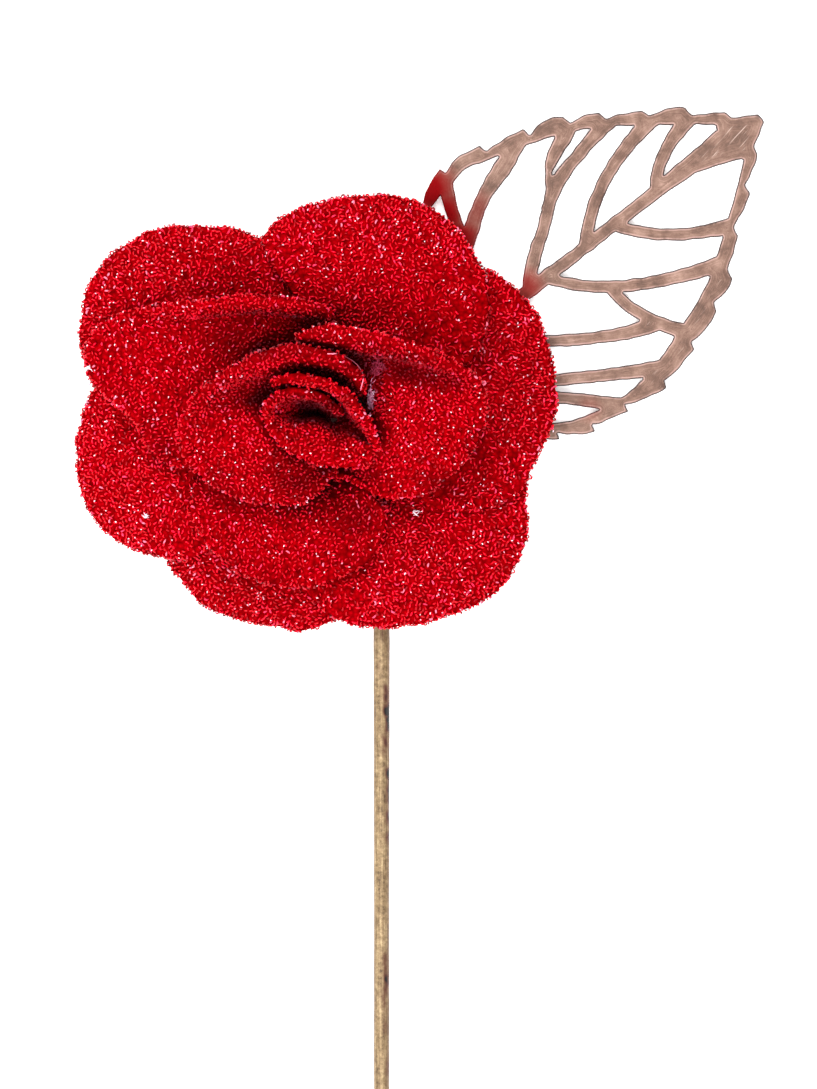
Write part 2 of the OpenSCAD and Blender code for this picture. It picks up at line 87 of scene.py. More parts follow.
# ring, slope of the root over the skirt or 0 beside it, rim rows [angle, reach, height, lean, roll]
BUD = {
    "mid_petal_left": (4, 18, [
        [82, 0.4, 0.43, 80, 0.5], [92, 0.415, 0.49, 88, 0.7], [104, 0.445, 0.55, 92, 0.8],
        [118, 0.505, 0.57, 93, 0.8], [134, 0.615, 0.55, 86, 0.7], [145, 0.755, 0.45, 56, 0.4],
        [154, 0.92, 0.34, 22, 0.1], [162, 1.0, 0.28, 4, 0], [168, 0.98, 0.28, 2, 0], [173, 0.915, 0.3, 4, 0],
        [178, 0.79, 0.34, 8, 0], [184, 0.73, 0.36, 12, 0], [192, 0.69, 0.37, 14, 0], [198, 0.63, 0.36, 18, 0],
        [203, 0.52, 0.33, 26, 0]]),
    "mid_petal_bottom": (4, 66, [
        [208, 0.56, 0.34, 16, 0], [212, 0.62, 0.34, 12, 0], [219, 0.66, 0.34, 10, 0],
        [230, 0.685, 0.33, 8, 0], [242, 0.695, 0.32, 6, 0.1], [254, 0.695, 0.31, 5, 0.1],
        [267, 0.675, 0.3, 5, 0.1], [281, 0.645, 0.31, 8, 0], [293, 0.59, 0.335, 12, 0],
        [300, 0.53, 0.345, 16, 0], [305, 0.46, 0.35, 22, 0]]),
    "bud_petal_right": (3, 0, [
        [-76, 0.255, 0.2, 60, 0], [-68, 0.27, 0.3, 54, 0], [-60, 0.31, 0.4, 44, 0], [-54, 0.39, 0.46, 32, 0],
        [-47, 0.455, 0.5, 20, 0], [-37, 0.52, 0.55, 12, 0], [-18, 0.61, 0.61, 10, 0], [-3, 0.67, 0.67, 14, 0],
        [7, 0.675, 0.71, 36, 0.1], [14, 0.635, 0.76, 58, 0.3], [21, 0.555, 0.8, 74, 0.6],
        [33, 0.445, 0.85, 82, 0.85], [46, 0.36, 0.88, 86, 0.95], [68, 0.308, 0.9, 86, 0.95],
        [90, 0.303, 0.88, 84, 0.8], [106, 0.31, 0.84, 80, 0.45]]),
    "bud_petal_left": (2, 0, [
        [29, 0.205, 0.74, 84, 0.3], [38, 0.207, 0.86, 84, 0.45], [51, 0.21, 0.92, 84, 0.6],
        [74, 0.21, 0.95, 84, 0.7], [102, 0.235, 0.96, 84, 0.75], [129, 0.28, 0.94, 82, 0.8],
        [152, 0.36, 0.89, 76, 0.65], [166, 0.455, 0.82, 60, 0.3], [181, 0.55, 0.75, 34, 0],
        [192, 0.575, 0.7, 18, 0], [205, 0.54, 0.66, 12, 0], [221, 0.48, 0.62, 12, 0],
        [238, 0.41, 0.58, 16, 0], [257, 0.36, 0.54, 22, 0], [270, 0.3, 0.48, 32, 0], [281, 0.25, 0.42, 44, 0],
        [291, 0.215, 0.36, 56, 0], [300, 0.18, 0.3, 60, 0]]),
    "bud_petal_inner": (1, 0, [
        [-30, 0.28, 0.74, 66, 0], [-20, 0.245, 0.78, 74, 0.1], [-7, 0.2, 0.82, 80, 0.25],
        [12, 0.155, 0.88, 84, 0.35], [47, 0.13, 0.98, 86, 0.4], [101, 0.14, 1.0, 86, 0.4],
        [130, 0.19, 0.94, 84, 0.35], [146, 0.23, 0.84, 80, 0.15]]),
    "bud_core": (0, 0, [
        [8, 0.1, 0.62, 84, 0], [22, 0.08, 0.7, 86, 0], [40, 0.066, 0.78, 86, 0], [65, 0.066, 0.84, 86, 0],
        [100, 0.085, 0.87, 86, 0], [126, 0.115, 0.88, 86, 0.05], [145, 0.165, 0.9, 84, 0.1],
        [160, 0.205, 0.92, 82, 0.1], [174, 0.225, 0.9, 76, 0], [189, 0.215, 0.86, 58, 0],
        [208, 0.19, 0.82, 34, 0], [227, 0.185, 0.79, 20, 0], [240, 0.18, 0.77, 14, 0],
        [269, 0.185, 0.75, 10, 0], [290, 0.21, 0.75, 12, 0], [304, 0.25, 0.755, 18, 0],
        [314, 0.285, 0.765, 26, 0], [322, 0.28, 0.77, 34, 0], [330, 0.235, 0.77, 46, 0]]),
}


# camera, light and floor
# [name, azimuth anticlockwise from +X, elevation, distance, size, power]
LIGHTS = [["left_low", 222, 44, 0.7, 0.36, 3.3], ["left_high", 136, 44, 0.7, 0.36, 2.8],
          ["right", 318, 44, 0.7, 0.36, 1.4], ["above", 90, 60, 0.8, 0.4, 4.1],
          ["below", 270, 66, 0.8, 0.4, 4.9]]
AIM = Vector((0, 0.012, 0))
WORLD_LIGHT, FLOOR_WHITE, FLOOR_GLOW, FLOOR_HALF = 0.24, 0.96, 0.4, 1.5


def add_object(name, data):
    obj = bpy.data.objects.new(name, data)
    bpy.context.scene.collection.objects.link(obj)
    return obj


def add_camera():
    """Straight down on the object, with the photograph's frame of 74.3 by 99 mm at the petals."""
    cam = add_object("camera", bpy.data.cameras.new("camera"))
    cam.data.lens, cam.data.sensor_width = 300, 36
    away = PHOTO_H / PX_PER_MM * cam.data.lens / cam.data.sensor_width
    cam.location = (VIEW[0] * MM, VIEW[1] * MM, (away + VIEW[2]) * MM)
    cam.data.clip_start, cam.data.clip_end = 0.01, 10
    bpy.context.scene.camera = cam


def add_light(name, azimuth, elevation, distance, size, power):
    """A square soft light aimed at the flower."""
    light = bpy.data.lights.new(name, "AREA")
    light.size, light.energy = size, power
    obj = add_object(name, light)
    a, e = radians(azimuth), radians(elevation)
    way = Vector((cos(a) * cos(e), sin(a) * cos(e), sin(e)))
    obj.location = AIM + distance * way
    obj.rotation_euler = (AIM - obj.location).to_track_quat("-Z", "Y").to_euler()


def add_stage():
    scene = bpy.context.scene
    scene.view_settings.view_transform = "Standard"
    scene.view_settings.look = "None"
    world = bpy.data.worlds.new("studio")
    scene.world = world
    world.use_nodes = True
    fill(world.node_tree, world.node_tree.nodes["Background"], Color=(1, 1, 1, 1), Strength=WORLD_LIGHT)
    for row in LIGHTS:
        add_light(*row)
    mat, tree, bsdf = new_material("floor")
    fill(tree, bsdf, Base_Color=(*[FLOOR_WHITE] * 3, 1), Roughness=0.9, Specular_IOR_Level=0.1,
         Emission_Color=(1, 1, 1, 1), Emission_Strength=FLOOR_GLOW)
    s, z = FLOOR_HALF, FLOOR_Z * MM
    floor = add_mesh("floor", np.array([[-s, -s, z], [s, -s, z], [s, s, z], [-s, s, z]]), [[0, 1, 2, 3]], mat)


# the petals' surfaces, in mm about the flower's centre
def ramp(x):
    u = np.clip(x, 0, 1)
    return u * u * (3 - 2 * u)


def rows_at(rows, x):
    """The table's row at each x, on a smooth curve through its rows."""
    rows, x = np.array(rows, float), np.asarray(x, float)
    n = len(rows)
    lo, hi = np.maximum(np.arange(n) - 1, 0), np.minimum(np.arange(n) + 1, n - 1)
    slope = (rows[hi] - rows[lo]) / (rows[hi, 0] - rows[lo, 0])[:, None]
    i = np.clip(np.searchsorted(rows[:, 0], x), 1, n - 1)
    w = rows[i, 0] - rows[i - 1, 0]
    u, w = ((x - rows[i - 1, 0]) / w)[..., None], w[..., None]
    return (rows[i - 1] * (2 * u**3 - 3 * u**2 + 1) + rows[i] * (3 * u**2 - 2 * u**3)
            + slope[i - 1] * w * (u**3 - 2 * u**2 + u) + slope[i] * w * (u**3 - u**2))


def norms(v):
    return np.linalg.norm(v, axis=-1)


def unit(v):
    return v / np.maximum(norms(v), 1e-12)[..., None]


def run(p):
    """How far along a row of points each one is."""
    step = norms(np.diff(p, axis=0))
    return np.concatenate([0 * step[:1], np.cumsum(step, 0)])


def crosses(p, t):
    """Each triangle's normal, twice its area long."""
    return np.cross(p[t[:, 1]] - p[t[:, 0]], p[t[:, 2]] - p[t[:, 0]])


def raised(xy, z=0.0):
    """Points of a plane, at a height."""
    return np.column_stack([xy, np.full(len(xy), z)])


def search_tree(points):
    tree = KDTree(len(points))
    for k, p in enumerate(points.tolist()):
        tree.insert(p, k)
    tree.balance()
    return tree


def sideways(n, limit):
    """Two directions at right angles to each normal and each other, by way of X where Z is past the limit."""
    x = unit(np.cross(np.where(np.abs(n[:, 2:3]) < limit, [[0, 0, 1]], [[1, 0, 0]]), n))
    return x, np.cross(n, x)


def bands(rings, sides, first=0):
    """Quads between rings of points that follow one another."""
    return [[first + i * sides + j, first + i * sides + (j + 1) % sides,
             first + (i + 1) * sides + (j + 1) % sides, first + (i + 1) * sides + j]
            for i in range(rings - 1) for j in range(sides)]


def closed_tube(rings, sides):
    return bands(rings, sides) + [list(range(sides))[::-1], list(range((rings - 1) * sides, rings * sides))]


SKIRT_ROUND = [[angle + turn, *rest] for turn in (-360, 0, 360) for angle, *rest in SKIRT]


def ring_r(ring):
    return CORE_R + ring * RING_STEP


def skirt_z(angle, r):
    row = rows_at(SKIRT_ROUND, np.mod(angle, 360))
    r0, edge = ring_r(OUTER_RING), FLOOR_Z + CLOTH_T / 2
    q = (r - r0) / (row[..., 1] * FLOWER_R - r0)
    end = edge + row[..., 2] * (ROOT_Z - edge)
    return ROOT_Z + (end - ROOT_Z) * q * np.abs(q) + ARCH * 4 * q * (1 - q)


def polar(angle, r, z):
    a = np.radians(angle)
    return np.stack([r * np.cos(a), r * np.sin(a), z], -1)


def outer_point(petal, rim_angle, t):
    first, last, rim = petal
    a0, a1 = rim[0][0], rim[-1][0]
    mid, r0 = (a0 + a1) / 2, ring_r(OUTER_RING)
    r = r0 + (rows_at(rim, rim_angle)[..., 1] * FLOWER_R - r0) * t
    angle = mid + (rim_angle - mid) * (OUTER_WAIST + (1 - OUTER_WAIST) * ramp(t / 0.85))
    across = (rim_angle - a0) / (a1 - a0)
    lift = first + (last - first) * ramp((across - LIFT_EDGE) / (1 - 2 * LIFT_EDGE))
    return polar(angle, r, skirt_z(angle, r) + lift * LIFT_STEP * ramp(t / LIFT_RUN))


def above_skirt(angle, r):
    return skirt_z(angle, r) + LIFT_STEP * (1 + ramp((r - ring_r(OUTER_RING)) / (LIFT_RUN * FLOWER_R / 3)))


def bud_column(row, ring, skirt_slope):
    """Points up one column of a middle or bud petal, from its root over its rolled rim."""
    angle, reach, height, lean, roll = row
    turn = TURN_MIN + (TURN_MAX - TURN_MIN) * min(max(roll, 0), 1)
    last, le = lean - turn, radians(lean)
    rise = (1 if last < 0 else cos(radians(last))) - cos(le)
    start = np.array([ring_r(ring), ROOT_Z])
    end = np.array([reach * FLOWER_R, ROOT_Z + height * FLOWER_H - ROLL_R * rise])
    chord = np.linalg.norm(end - start)
    flat = 1 - min(max(lean / 50, 0), 1)
    south = float(ramp(-1.6 * sin(radians(angle)))) if ring == 0 else 0
    steep = 0
    if ring in STEEP_SIDES:
        steep = min(max(1.8 * cos(radians(angle - STEEP_SIDES[ring])) - 0.5, 0), 1)
    slope = radians(skirt_slope or WALL_SLOPE + CORE_MORE * south + SIDE_MORE * steep)
    # how far the wall keeps its slope at the root, and its lean at the rim
    out, back = BEND, BEND + 0.1
    if not skirt_slope:
        out, back = BEND + (max(0.3 * flat, 0.52 * steep) if ring else 0), BEND + 0.13 * flat
    leave = start + out * chord * np.array([cos(slope), sin(slope)])
    arrive = end - back * chord * np.array([cos(le), sin(le)])
    centre = end + ROLL_R * np.array([sin(le), -cos(le)])
    t = np.linspace(0, 1, WALL_STEPS)[:, None]
    wall = start * (1 - t)**3 + leave * 3 * t * (1 - t)**2 + arrive * 3 * t**2 * (1 - t) + end * t**3
    a = np.radians(lean - turn * np.linspace(0, 1, ROLL_STEPS)[1:])
    p = np.vstack([wall, centre + ROLL_R * np.stack([-np.sin(a), np.cos(a)], -1)])
    if skirt_slope:
        low = above_skirt(np.full(len(p), angle), p[:, 0])
        over = (p[:, 1] + low + np.sqrt((p[:, 1] - low)**2 + 0.25)) / 2
        p[:, 1] = np.where(p[:, 0] > ring_r(OUTER_RING), over, p[:, 1])
    return polar(angle, p[:, 0], p[:, 1])


def stations(length, both):
    """Shares of a length: evenly spaced, but closer at its end, or both ends, where the cloth is rounded."""
    even = np.linspace(0, 1, max(int(round(length / STEP)), 6) + 1)[1:-1]
    near = np.array([0, 0.08, 0.22, EDGE_ROUND]) / length
    near = near[near < even[0]]
    left, right = near if both else near[:1], 1 - near[::-1]
    even = even[(even > left[-1] + 0.1 / length) & (even < right[0] - 0.1 / length)]
    return np.hstack([left, even, right])


def resample(points, shares):
    d = run(points)
    return np.stack([np.interp(shares * d[-1], d, points[:, k]) for k in range(3)], -1)


def waves(p, size, seed, count=7):
    """Smooth noise about -1..1 at points p, with features of about size mm."""
    rng = np.random.default_rng(seed)
    total = np.zeros(p.shape[:-1])
    for _ in range(count):
        k = rng.normal(size=3)
        k *= 2 * pi / size / np.linalg.norm(k) * rng.uniform(0.6, 1.3)
        total += np.sin(p @ k + rng.uniform(0, 2 * pi))
    return total / sqrt(count)


def grid_normals(g):
    return unit(np.cross(np.gradient(g, axis=1), np.gradient(g, axis=0)))


def petal_grid(name, seed):
    """Middle surface of a petal, from its first side to its last and from root to rim, a little uneven."""
    outer = name.startswith("outer")
    petal = OUTER[int(name[-1]) - 1] if outer else BUD[name]
    ring, skirt_slope, rows = petal
    a0, a1 = rows[0][0], rows[-1][0]
    share = 1 if outer else (max(row[1] for row in rows) + ring_r(ring) / FLOWER_R) / 2
    u = a0 + (a1 - a0) * stations(radians(a1 - a0) * FLOWER_R * share, True)
    v = stations(13.0 if outer or ring < 2 else 15.0, False)
    if outer:
        t = np.linspace(0, 1, 60)
        g = np.array([resample(outer_point(petal, np.full(len(t), a), t), v) for a in u])
    else:
        g = np.array([resample(bud_column(row, ring, skirt_slope), v) for row in rows_at(rows, u)])
        # evened out where the table's rows change quickly
        for _ in range(2):
            g[1:-1] = (g[:-2] + 2 * g[1:-1] + g[2:]) / 4
    tangent = unit(g[:, -1] - g[:, -3])
    near_rim = ramp(1 - norms(g - g[:, -1:]) / 1.6)
    uneven = 0.09 * waves(g[:, -1], 2.6, seed + 20) + 0.07 * waves(g[:, -1], 0.9, seed + 21)
    g = g + near_rim[..., None] * (uneven[:, None] * tangent)[:, None]
    out = np.linspace(0, 1, g.shape[1])[None, :]
    n = grid_normals(g)
    amount = 0.05 + 0.10 * out**2
    return g + n * (amount * waves(g, 7.0, seed) + 0.035 * waves(g, 2.2, seed + 50))[..., None]


def petal_shell(g):
    """Closed sheet with rounded edges round a grid: points, quads, and each point's side, 1 or -1."""
    m, n = g.shape[:2]
    normal = grid_normals(g)
    side, up = run(g), run(g.swapaxes(0, 1)).T
    edge = np.minimum(np.minimum(side, side[-1] - side), up[:, -1:] - up)
    half = CLOTH_HALF * np.sqrt(np.clip(1 - (1 - np.clip(edge / EDGE_ROUND, 0, 1))**2, 0, 1))
    p = np.concatenate([g + normal * half[..., None], g - normal * half[..., None]]).reshape(-1, 3)
    k = m * n
    ids = np.arange(k).reshape(m, n)
    a, b, c, d = (x.ravel() for x in (ids[:-1, :-1], ids[:-1, 1:], ids[1:, :-1], ids[1:, 1:]))
    r = ids[:-1, 0]
    layers = (a, b, d, c), (a + k, c + k, d + k, b + k), (r, r + n, r + n + k, r + k)
    # the sides and the rim have no thickness, so their two layers share points
    border, same = np.hstack([ids[0], ids[-1], ids[:, -1]]), np.arange(2 * k)
    same[border + k] = border
    quads = same[np.vstack([np.stack(q, -1) for q in layers])]
    used, inverse = np.unique(quads, return_inverse=True)
    return p[used], inverse.reshape(-1, 4), np.repeat([1, -1], k)[used]


def split(quads):
    """Triangles of quads, without the ones that a shared point leaves empty."""
    t = np.vstack([quads[:, [0, 1, 2]], quads[:, [0, 2, 3]]])
    return t[(t[:, 0] != t[:, 1]) & (t[:, 1] != t[:, 2]) & (t[:, 0] != t[:, 2])]


def clean_faces(quads):
    faces = []
    for q in quads.tolist():
        f = [x for k, x in enumerate(q) if x != q[k - 1]]
        if len(set(f)) >= 3:
            faces.append(f)
    return faces


def vertex_normals(p, t):
    n = np.zeros_like(p)
    f = crosses(p, t)
    for k in range(3):
        np.add.at(n, t[:, k], f)
    return unit(n)


def to_row(p):
    """From mm about the flower's centre to metres in the row's frame."""
    return (p + [*CENTRE, 0]) * MM


def add_mesh(name, points, faces, mat):
    mesh = bpy.data.meshes.new(name)
    mesh.from_pydata(points.tolist(), [], faces if isinstance(faces, list) else faces.tolist())
    mesh.update()
    mesh.shade_smooth()
    mesh.materials.append(mat)
    return add_object(name, mesh)


def set_attribute(obj, name, values):
    obj.data.attributes.new(name, "FLOAT", "POINT").data.foreach_set("value", values.astype(np.float32))


# loops of yarn
LOOP_GAP = 0.77  # between loops, over the square root of their density
COVER_NEAR, COVERED_SHARE = 1.6, 0.3  # where another petal lies this near over the cloth, loops are fewer
LOOP_R, LOOP_LIFT, RIM_LIFT = (0.078, 0.108), (0.09, 0.2), (0, 0.22)
STITCH_COLUMN, STITCH_LEAN = 0.95, 0.62
# tinsel: bright bits of glitter, with their glint painted in as a near-white colour
TINSEL_GLINT_FRONT, TINSEL_GLINT_BACK = 0.14, 0.03  # share of the loops that carry a bright bit
TINSEL_L, TINSEL_R, TINSEL_LIFT, TINSEL_GLINT_TONE = (0.11, 0.21), (0.045, 0.07), (0.2, 0.3), (0.88, 1.0)


def scatter(p, t, weight, radius, rng):
    """Evenly random points on triangles: candidates by area and weight, thinned to radius apart.

    Returns the points, the triangle of each and its place on that triangle.
    """
    a, b, c = (p[t[:, k]] for k in range(3))
    w = norms(crosses(p, t)) / 2 * weight
    count = int(w.sum() * 4.0)
    i = rng.choice(len(t), count, p=w / w.sum())
    u, v = rng.random((2, count, 1))
    u, v = np.where(u + v > 1, 1 - u, u), np.where(u + v > 1, 1 - v, v)
    q = a[i] + u * (b[i] - a[i]) + v * (c[i] - a[i])
    tree = search_tree(q)
    alive, keep = np.ones(count, bool), []
    gap = radius / np.sqrt(weight[i])
    for k in range(count):
        if alive[k]:
            keep.append(k)
            for _, j, _ in tree.find_range(q[k].tolist(), float(gap[k])):
                if j > k:
                    alive[j] = False
    keep = np.array(keep)
    return q[keep], i[keep], np.hstack([u, v])[keep]


RINGS = np.array([-1.0, -0.38, 0.38, 1.0])
TAPER = np.array([0.42, 1.0, 1.0, 0.42])
SIDES = 4
STRAND_POINTS = len(RINGS) * SIDES


def strands(q, n, length, radius, lift, curve, angle, sink):
    """Short bent strands lying on a surface at q with normals n. Returns points and quads."""
    x, y = sideways(n, 0.8)
    ca, sa = np.cos(angle)[:, None], np.sin(angle)[:, None]
    along, across = x * ca + y * sa, y * ca - x * sa
    s = RINGS[None, :, None]
    centre = (q[:, None] + along[:, None] * s * length[:, None, None] / 2
              + across[:, None] * (s**2 - 0.45) * curve[:, None, None]
              + n[:, None] * (lift[:, None, None] * (1 - s**2) - sink[:, None, None] * s**4))
    tangent = unit(np.gradient(centre, axis=1))
    out = unit(np.cross(tangent, np.broadcast_to(n[:, None], tangent.shape)))
    up = np.cross(out, tangent)
    a = ((np.arange(SIDES) + 0.5) * 2 * pi / SIDES)[:, None]
    r = (radius[:, None] * TAPER[None])[..., None, None]
    p = centre[:, :, None] + r * (out[:, :, None] * np.cos(a) + up[:, :, None] * np.sin(a))
    quads = np.array(closed_tube(len(RINGS), SIDES))
    quads = (quads[None] + (np.arange(len(q)) * STRAND_POINTS)[:, None, None]).reshape(-1, 4)
    return p.reshape(-1, 3), quads


# painted shade: where the cloth is painted darker than its hollows make it, or less dark:
# [x, y, half width, half height, amount], in mm about the flower's centre
PAINTED_SHADE_SPOTS = [[-7.6, 7.5, 3.2, 1.1, 0.35], [-9.8, 7, 2.2, 1.2, 0.25], [-5.6, 5.5, 4, 1.1, 0.45],
       [0, 6.3, 3, 0.9, 0.4], [3, 4.3, 1.6, 1, 0.5], [0.2, 1.3, 2.2, 0.7, 0.6],
       [1.3, 0.6, 0.9, 0.6, 0.4], [-8.2, 0.9, 2.6, 1.1, 0.25], [-6, 1.9, 2.4, 1, 0.4],
       [3.9, -1.2, 1, 1.5, 0.3], [4.8, 5.8, 2, 1.2, 0.4], [6.9, 4, 1.6, 1.2, 0.35],
       [9, 3.7, 2.8, 1.2, 0.65], [12.3, 3, 2, 1, 0.35], [15.2, 6.5, 1.2, 3, 0.3],
       [20, 2, 1.5, 4, 0.12], [17.3, 0.5, 2.5, 6, 0.1], [3.3, -9.4, 2.6, 1.8, 0.55],
       [4.5, -8.2, 1.2, 0.8, 0.2], [-1.9, -6, 2.2, 1.3, 0.65], [-4.4, -4.2, 1.2, 1.2, 0.35],
       [4.7, -5.5, 1.2, 1, 0.4], [10.8, -5.8, 2.2, 1.1, 0.35], [11.8, -7, 2.2, 1, 0.25],
       [14.4, -3.2, 1.2, 2.2, 0.35], [-15.6, -0.8, 1, 1.2, 0.25], [-14.2, -3, 1.3, 1.3, 0.4],
       [-9.8, -6.4, 2.2, 1.2, 0.35], [-7, -7.5, 2.2, 0.8, 0.3], [-5.6, -14.6, 3, 0.8, 0.25],
       [-8.2, -13.2, 1.5, 0.8, 0.25], [3.8, -13.4, 2.6, 1.4, 0.25], [-6.9, 14.4, 2, 1.2, 0.25],
       [5.6, 1.1, 1.3, 1.8, -0.8], [3, -6.8, 1.6, 0.8, -0.6], [8.2, -8.2, 2.2, 0.9, -0.6],
       [6.5, 9.2, 3.6, 1.3, -0.6], [-5.6, -2.4, 1.4, 2, -0.4], [3.2, -0.9, 1.3, 0.8, -0.3],
       [-3.4, 4.4, 2.5, 0.7, -0.4], [-2.6, 0.5, 1, 0.6, -0.4], [-12.4, -5.3, 1.2, 1.4, -0.3],
       [7.6, 5.2, 2, 0.9, 0.3], [8.7, 8, 2.5, 1, -0.3], [1.6, -5.4, 1, 0.8, -0.3],
       [-0.4, 8.3, 1.6, 0.8, 0.25], [-3.4, 8.3, 1.4, 0.9, -0.3], [-3, 1.9, 1.4, 0.5, 0.3],
       [-0.6, 0.9, 1, 0.4, 0.25], [-8.8, 3.4, 2.6, 0.7, 0.2]]


def painted_shade_at(deep, points):
    """How much painted shade the cloth gets at each point, from 0 to 1: by its depth and by the table."""
    amount = 0.9 * ramp((deep - 0.4) / 0.6)
    for x, y, wide, high, dim in PAINTED_SHADE_SPOTS:
        amount = amount + dim * np.exp(-((points[:, 0] - x) / wide)**2 - ((points[:, 1] - y) / high)**2)
    return np.clip(amount, 0, 0.95)


GOLDEN_ANGLE = 2.399963  # in radians; it spreads the rays evenly


def hollow(tree, points, normals):
    """How deep each point lies between the petals, from 0 to 1: the share of its rays that meet cloth."""
    rng = np.random.default_rng(77)
    count, reach = 14, 10.0
    z = np.sqrt((np.arange(count) + 0.5) / count)
    flat, turn = np.sqrt(1 - z**2), np.arange(count) * GOLDEN_ANGLE
    x, y = sideways(normals, 0.9)
    spin = rng.uniform(0, 2 * pi, len(points))[:, None]
    x, y = x * np.cos(spin) + y * np.sin(spin), y * np.cos(spin) - x * np.sin(spin)
    start, found = (points + 0.45 * normals).tolist(), np.zeros(len(points))
    for a, b, c in zip(flat * np.cos(turn), flat * np.sin(turn), z):
        ways = (x * a + y * b + normals * c).tolist()
        found += [way[2] < 0 or tree.ray_cast(p, way, reach)[0] is not None for p, way in zip(start, ways)]
    return found / count


def add_loops(name, shell, others, whole, density, seed):
    """The knit's loops on one petal, as one joined mesh."""
    p, quads, layer, n = shell
    t = split(quads)
    rng = np.random.default_rng(seed)
    side = layer[t].mean(1)
    rim = np.abs(side) < 0.99
    weight = np.where(rim | (side > 0), *density).astype(float)
    middle, face = p[t].mean(1), unit(crosses(p, t))
    for k in np.nonzero(~rim)[0]:
        hit = others.ray_cast((middle[k] + face[k] * 0.05).tolist(), face[k].tolist(), COVER_NEAR)
        if hit[0] is not None:
            weight[k] *= COVERED_SHARE
    q, i, uv = scatter(p, t, weight, LOOP_GAP, rng)
    tn = n[t[i]]
    nn = unit(tn[:, 0] + uv[:, :1] * (tn[:, 1] - tn[:, 0]) + uv[:, 1:] * (tn[:, 2] - tn[:, 0]))
    count = len(q)
    if name.startswith("outer"):
        flow = 1.2 * waves(q, 9.0, seed + 7) + rng.normal(0, 1.0, count)
        length = rng.uniform(0.32, 0.54, count)
    else:
        # stitches in columns, leaning to one side and the other in turn
        bent = q[:, 0] * 0.96 + q[:, 1] * 0.28 + 0.3 * waves(q, 8.0, seed + 6)
        column = np.sin(2 * pi / STITCH_COLUMN * bent)
        flow = np.where(column > 0, STITCH_LEAN, -STITCH_LEAN) + 0.5 * waves(q, 9.0, seed + 7)
        flow += rng.normal(0, 0.3, count)
        length = rng.uniform(0.26, 0.44, count)
    radius = rng.uniform(*LOOP_R, count)
    lift = rng.uniform(*LOOP_LIFT, count)
    lift = np.where(rim[i], lift + rng.uniform(*RIM_LIFT, count), lift)
    curve = rng.normal(0, 0.08, count)
    tone = np.clip(0.44 + 0.2 * rng.normal(size=count) + 0.06 * waves(q, 5.0, seed + 9), 0.02, 0.86)
    # painted shade on the loops, and tinsel: short bright bits of glitter that lie on top, with their glint
    # painted in as a near-white colour, fewer in the hollows and the painted shade
    painted_shade, deep = np.zeros(count), np.zeros(count)
    front = side[i] > -0.5
    deep[front] = hollow(whole, q[front], nn[front])
    painted_shade[front] = painted_shade_at(deep[front], q[front])
    in_shade = np.clip(1.7 * np.maximum(deep, painted_shade), 0, 1)
    share = np.where(side[i] > 0, TINSEL_GLINT_FRONT * (1 - in_shade), TINSEL_GLINT_BACK)
    tinsel_glints = np.nonzero(rng.random(count) < share)[0]
    away = rng.normal(0, 0.12, (len(tinsel_glints), 3))
    q = np.vstack([q, q[tinsel_glints] + away - (away * nn[tinsel_glints]).sum(1, keepdims=True) * nn[tinsel_glints]])
    nn, many = np.vstack([nn, nn[tinsel_glints]]), len(tinsel_glints)
    spans = (TINSEL_L, TINSEL_R, TINSEL_LIFT, (0, pi), TINSEL_GLINT_TONE)
    length, radius, lift, flow, tone = [np.hstack([loops, rng.uniform(*span, many)])
                                        for loops, span in zip((length, radius, lift, flow, tone), spans)]
    curve = np.hstack([curve, np.zeros(many)])
    sink = np.hstack([np.full(count, 0.05), 0.03 - lift[count:]])
    points, faces = strands(q, nn, length, radius, lift, curve, flow, sink)
    obj = add_mesh(name + "_loops", to_row(points), faces, YARN)
    set_attribute(obj, "tone", np.repeat(tone, STRAND_POINTS))
    set_attribute(obj, "painted_shade", np.repeat(np.hstack([painted_shade, painted_shade[tinsel_glints]]), STRAND_POINTS))
    return obj


def on_cloth(tree, xy, above):
    """Points on the petals under the given places, raised by above, and the cloth's normals there."""
    q, n = [], []
    for x, y in xy:
        hit = tree.ray_cast((float(x), float(y), 40.0), (0, 0, -1))
        if hit[0] is not None:
            q.append(hit[0])
            n.append(hit[1])
    q, n = np.array(q), np.array(n)
    n *= np.where(n[:, 2:] < 0, -1, 1)
    return q + above * n, n


def finish_piece(obj, tone):
    set_attribute(obj, "tone", tone)
    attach(obj, "root")


# [share of the length, x, y], in mm about the flower's centre
THREAD = [[0, 0.8, 5.55], [0.3, 2.1, 5.5], [0.6, 3.4, 4.7], [0.8, 4.0, 3.6], [1, 3.75, 2.3]]
THREAD_R, THREAD_SIDES, THREAD_TONE = 0.045, 6, 0.87


def add_thread(tree):
    """A fine loose thread that lies in an arc over the left bud petal's rolled rim."""
    q, _ = on_cloth(tree, rows_at(THREAD, np.linspace(0, 1, 40))[:, 1:], 0.0)
    z = np.convolve(np.pad(q[:, 2], 4, mode="edge"), np.ones(9) / 9, "valid") + 0.62
    q[:, 2] = np.maximum(z, q[:, 2] + 0.45)
    way = unit(np.gradient(q, axis=0))
    out = unit(np.cross(way, [0, 0, 1.0]))
    up = np.cross(out, way)
    a = np.arange(THREAD_SIDES)[None, :, None] * 2 * pi / THREAD_SIDES
    p = (q[:, None] + THREAD_R * (out[:, None] * np.cos(a) + up[:, None] * np.sin(a))).reshape(-1, 3)
    obj = add_mesh("loose_thread", to_row(p), closed_tube(len(q), THREAD_SIDES), YARN)
    finish_piece(obj, np.full(len(p), THREAD_TONE))


# lint and dried glue: [x, y, half width, half height, wisps, least tone, greatest tone], in mm
LINT = [[5.3, 4.5, 0.8, 1.1, 60, 0, 0.4], [4.95, 1.8, 0.2, 0.95, 70, 0.55, 0.88],
        [-15.8, -9, 0.15, 0.3, 5, 0.9, 1], [8.7, -8.8, 0.2, 0.2, 5, 0.9, 1],
        [-20.8, 4.4, 0.2, 0.3, 5, 0.9, 1]]


